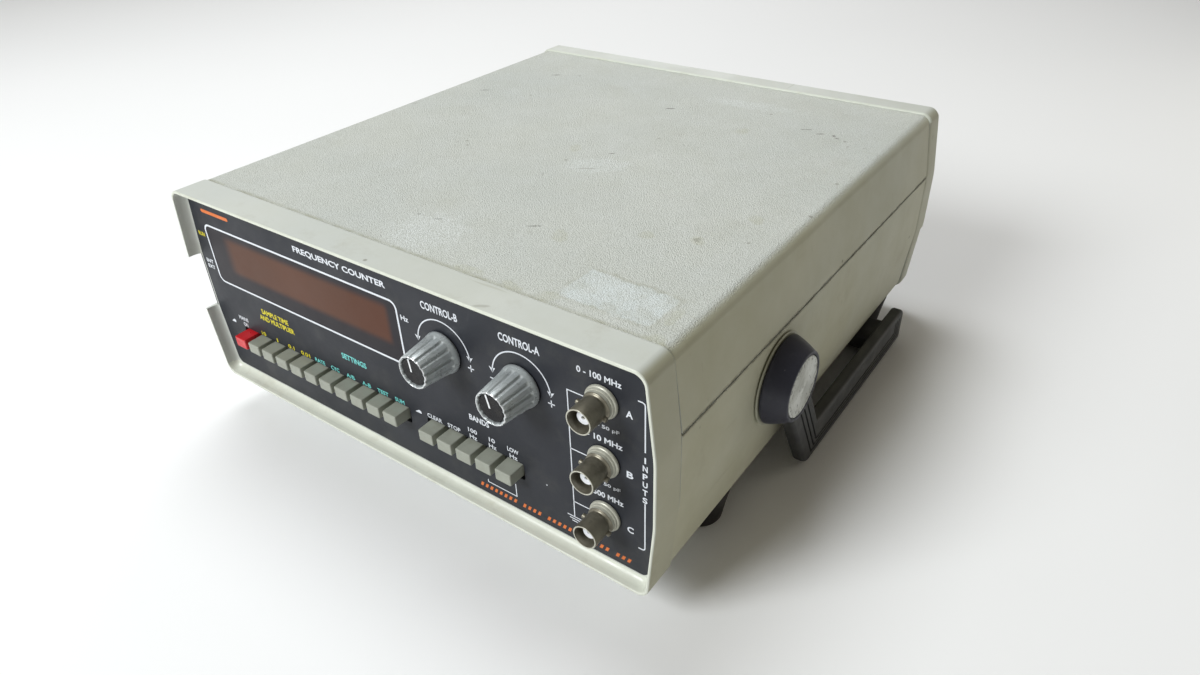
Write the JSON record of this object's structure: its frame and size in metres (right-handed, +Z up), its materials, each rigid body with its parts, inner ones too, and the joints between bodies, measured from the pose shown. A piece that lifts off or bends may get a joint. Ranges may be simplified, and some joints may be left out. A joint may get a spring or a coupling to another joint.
{
  "type": "frequency counter",
  "caption": "Bench frequency counter with display window, push-button rows, trigger knobs, coaxial inputs and a swinging carrying handle.",
  "frame": {"origin": "centre of the bounding box, on the plane the feet stand on", "axes": "+Z up, the front panel faces -Y, +X to the right seen from the front"},
  "size_m": [0.2744, 0.28, 0.1146],
  "materials": {
    "case_plastic": "pale warm grey-green moulded plastic, satin on the bezels and finely pebbled on the covers, with scuffs and grime",
    "panel_paint": "charcoal painted sheet with printed legends",
    "window_filter": "red-brown tinted filter, slightly soft surface",
    "red_key": "red moulded key",
    "grey_key": "warm grey moulded key",
    "black_plastic": "black moulded plastic",
    "knob_silver": "satin silver, fluted",
    "cap_black": "black cap with a white pointer line",
    "steel": "plated steel",
    "nickel": "dull tarnished nickel plate",
    "insulator": "white insulator",
    "handle_plastic": "dark grey moulded plastic, worn",
    "hub_plastic": "blue-black moulded plastic with fine scratches",
    "disc_aluminium": "dull aluminium disc with dirt spots",
    "washer_plastic": "pale plastic ring",
    "foot_rubber": "black rubber",
    "board": "green circuit board",
    "transformer_iron": "varnished laminations"
  },
  "bodies": {
    "case": {"front_bezel": "case_plastic", "front_panel": "panel_paint", "display_window": "window_filter", "top_cover": "case_plastic", "bottom_cover": "case_plastic", "rear_bezel": "case_plastic", "rear_panel": "panel_paint", "function_switch_bank": "black_plastic", "range_switch_bank": "black_plastic", "trigger_pot_a": "steel", "trigger_pot_b": "steel", "input_connector_a": "nickel", "input_connector_b": "nickel", "input_connector_c": "nickel", "connector_insert_a": "insulator", "connector_insert_b": "insulator", "connector_insert_c": "insulator", "hub_washer_right": "washer_plastic", "hub_washer_left": "washer_plastic", "pivot_stud_right": "steel", "pivot_stud_left": "steel", "foot_front_left": "foot_rubber", "foot_front_right": "foot_rubber", "foot_rear_left": "foot_rubber", "foot_rear_right": "foot_rubber", "main_board": "board", "display_board": "board", "display_module": "black_plastic", "mains_transformer": "transformer_iron", "mains_inlet": "black_plastic", "fuse_holder": "black_plastic"},
    "power_key": {"power_button": "red_key"},
    "function_key_1": {"function_button_1": "grey_key"},
    "function_key_2": {"function_button_2": "grey_key"},
    "function_key_3": {"function_button_3": "grey_key"},
    "function_key_4": {"function_button_4": "grey_key"},
    "function_key_5": {"function_button_5": "grey_key"},
    "function_key_6": {"function_button_6": "grey_key"},
    "function_key_7": {"function_button_7": "grey_key"},
    "function_key_8": {"function_button_8": "grey_key"},
    "function_key_9": {"function_button_9": "grey_key"},
    "function_key_10": {"function_button_10": "grey_key"},
    "range_key_1": {"range_button_1": "grey_key"},
    "range_key_2": {"range_button_2": "grey_key"},
    "range_key_3": {"range_button_3": "grey_key"},
    "range_key_4": {"range_button_4": "grey_key"},
    "range_key_5": {"range_button_5": "grey_key"},
    "knob_a": {"trigger_knob_a": "knob_silver", "knob_cap_a": "cap_black", "pot_shaft_a": "steel"},
    "knob_b": {"trigger_knob_b": "knob_silver", "knob_cap_b": "cap_black", "pot_shaft_b": "steel"},
    "handle": {"handle_arm_right": "handle_plastic", "hub_cap_right": "hub_plastic", "hub_disc_right": "disc_aluminium", "handle_arm_left": "handle_plastic", "hub_cap_left": "hub_plastic", "hub_disc_left": "disc_aluminium", "handle_grip": "handle_plastic"}
  },
  "joints": [
    {"name": "power_button_press", "type": "slide", "parent": "case", "child": "power_key", "axis": [0, 1, 0], "range_m": [0, 0.004], "stiffness_N_per_m": 300},
    {"name": "function_button_1_press", "type": "slide", "parent": "case", "child": "function_key_1", "axis": [0, 1, 0], "range_m": [0, 0.004], "stiffness_N_per_m": 300},
    {"name": "function_button_2_press", "type": "slide", "parent": "case", "child": "function_key_2", "axis": [0, 1, 0], "range_m": [0, 0.004], "stiffness_N_per_m": 300},
    {"name": "function_button_3_press", "type": "slide", "parent": "case", "child": "function_key_3", "axis": [0, 1, 0], "range_m": [0, 0.004], "stiffness_N_per_m": 300},
    {"name": "function_button_4_press", "type": "slide", "parent": "case", "child": "function_key_4", "axis": [0, 1, 0], "range_m": [0, 0.004], "stiffness_N_per_m": 300},
    {"name": "function_button_5_press", "type": "slide", "parent": "case", "child": "function_key_5", "axis": [0, 1, 0], "range_m": [0, 0.004], "stiffness_N_per_m": 300},
    {"name": "function_button_6_press", "type": "slide", "parent": "case", "child": "function_key_6", "axis": [0, 1, 0], "range_m": [0, 0.004], "stiffness_N_per_m": 300},
    {"name": "function_button_7_press", "type": "slide", "parent": "case", "child": "function_key_7", "axis": [0, 1, 0], "range_m": [0, 0.004], "stiffness_N_per_m": 300},
    {"name": "function_button_8_press", "type": "slide", "parent": "case", "child": "function_key_8", "axis": [0, 1, 0], "range_m": [0, 0.004], "stiffness_N_per_m": 300},
    {"name": "function_button_9_press", "type": "slide", "parent": "case", "child": "function_key_9", "axis": [0, 1, 0], "range_m": [0, 0.004], "stiffness_N_per_m": 300},
    {"name": "function_button_10_press", "type": "slide", "parent": "case", "child": "function_key_10", "axis": [0, 1, 0], "range_m": [0, 0.004], "stiffness_N_per_m": 300},
    {"name": "range_button_1_press", "type": "slide", "parent": "case", "child": "range_key_1", "axis": [0, 1, 0], "range_m": [0, 0.004], "stiffness_N_per_m": 300},
    {"name": "range_button_2_press", "type": "slide", "parent": "case", "child": "range_key_2", "axis": [0, 1, 0], "range_m": [0, 0.004], "stiffness_N_per_m": 300},
    {"name": "range_button_3_press", "type": "slide", "parent": "case", "child": "range_key_3", "axis": [0, 1, 0], "range_m": [0, 0.004], "stiffness_N_per_m": 300},
    {"name": "range_button_4_press", "type": "slide", "parent": "case", "child": "range_key_4", "axis": [0, 1, 0], "range_m": [0, 0.004], "stiffness_N_per_m": 300},
    {"name": "range_button_5_press", "type": "slide", "parent": "case", "child": "range_key_5", "axis": [0, 1, 0], "range_m": [0, 0.004], "stiffness_N_per_m": 300},
    {"name": "trigger_a_turn", "type": "hinge", "parent": "case", "child": "knob_a", "pos_m": [0.0682, -0.1321, 0.0849], "axis": [0, -1, 0], "range_deg": [-150, 150]},
    {"name": "trigger_b_turn", "type": "hinge", "parent": "case", "child": "knob_b", "pos_m": [0.0316, -0.1321, 0.0849], "axis": [0, -1, 0], "range_deg": [-150, 150]},
    {"name": "handle_swing", "type": "hinge", "parent": "case", "child": "handle", "pos_m": [0, -0.0415, 0.0606], "axis": [-1, 0, 0], "range_deg": [0, 300]}
  ]
}
